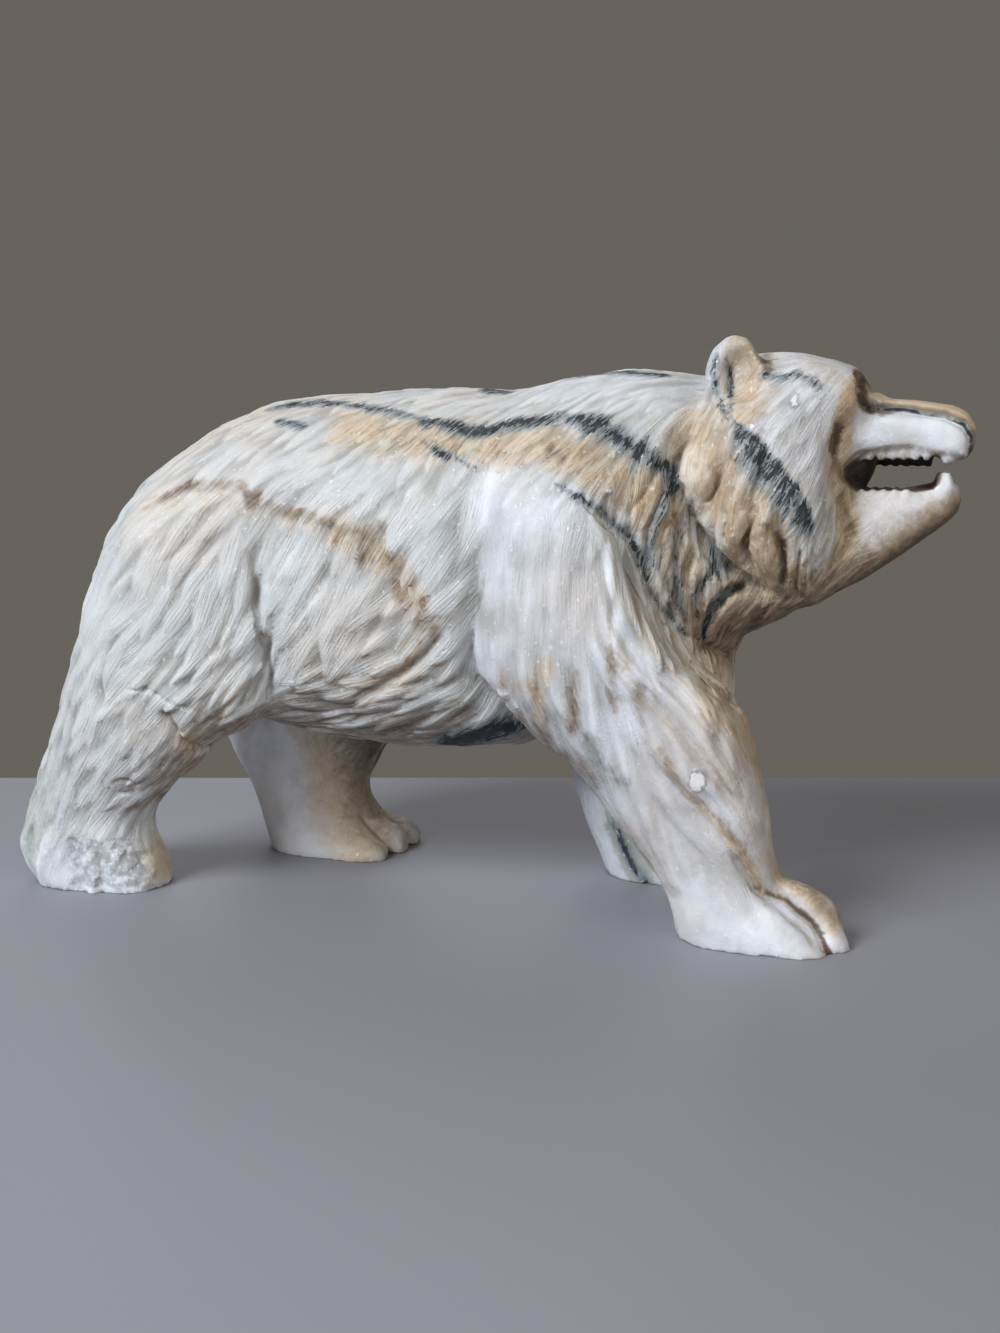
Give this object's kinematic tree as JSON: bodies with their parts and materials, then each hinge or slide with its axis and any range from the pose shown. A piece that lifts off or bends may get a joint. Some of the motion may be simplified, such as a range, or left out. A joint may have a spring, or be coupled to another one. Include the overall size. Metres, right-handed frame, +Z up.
{
  "type": "bear carving",
  "caption": "Walking bear with open jaws, carved from one solid block of banded calcite, standing on four flat soles as a shelf ornament.",
  "frame": {"origin": "middle of the bear's bounding box in X and Y, at the height of its soles", "axes": "+X towards the bear's nose, +Y towards the bear's left side, +Z up"},
  "size_m": [0.199, 0.0752, 0.1163],
  "materials": {
    "banded_calcite": "white to cream translucent calcite with tan bands and dark green veins; satin on the muzzle and paws, coarse cut fur elsewhere"
  },
  "bodies": {
    "root": {"bear": "banded_calcite"}
  },
  "joints": []
}
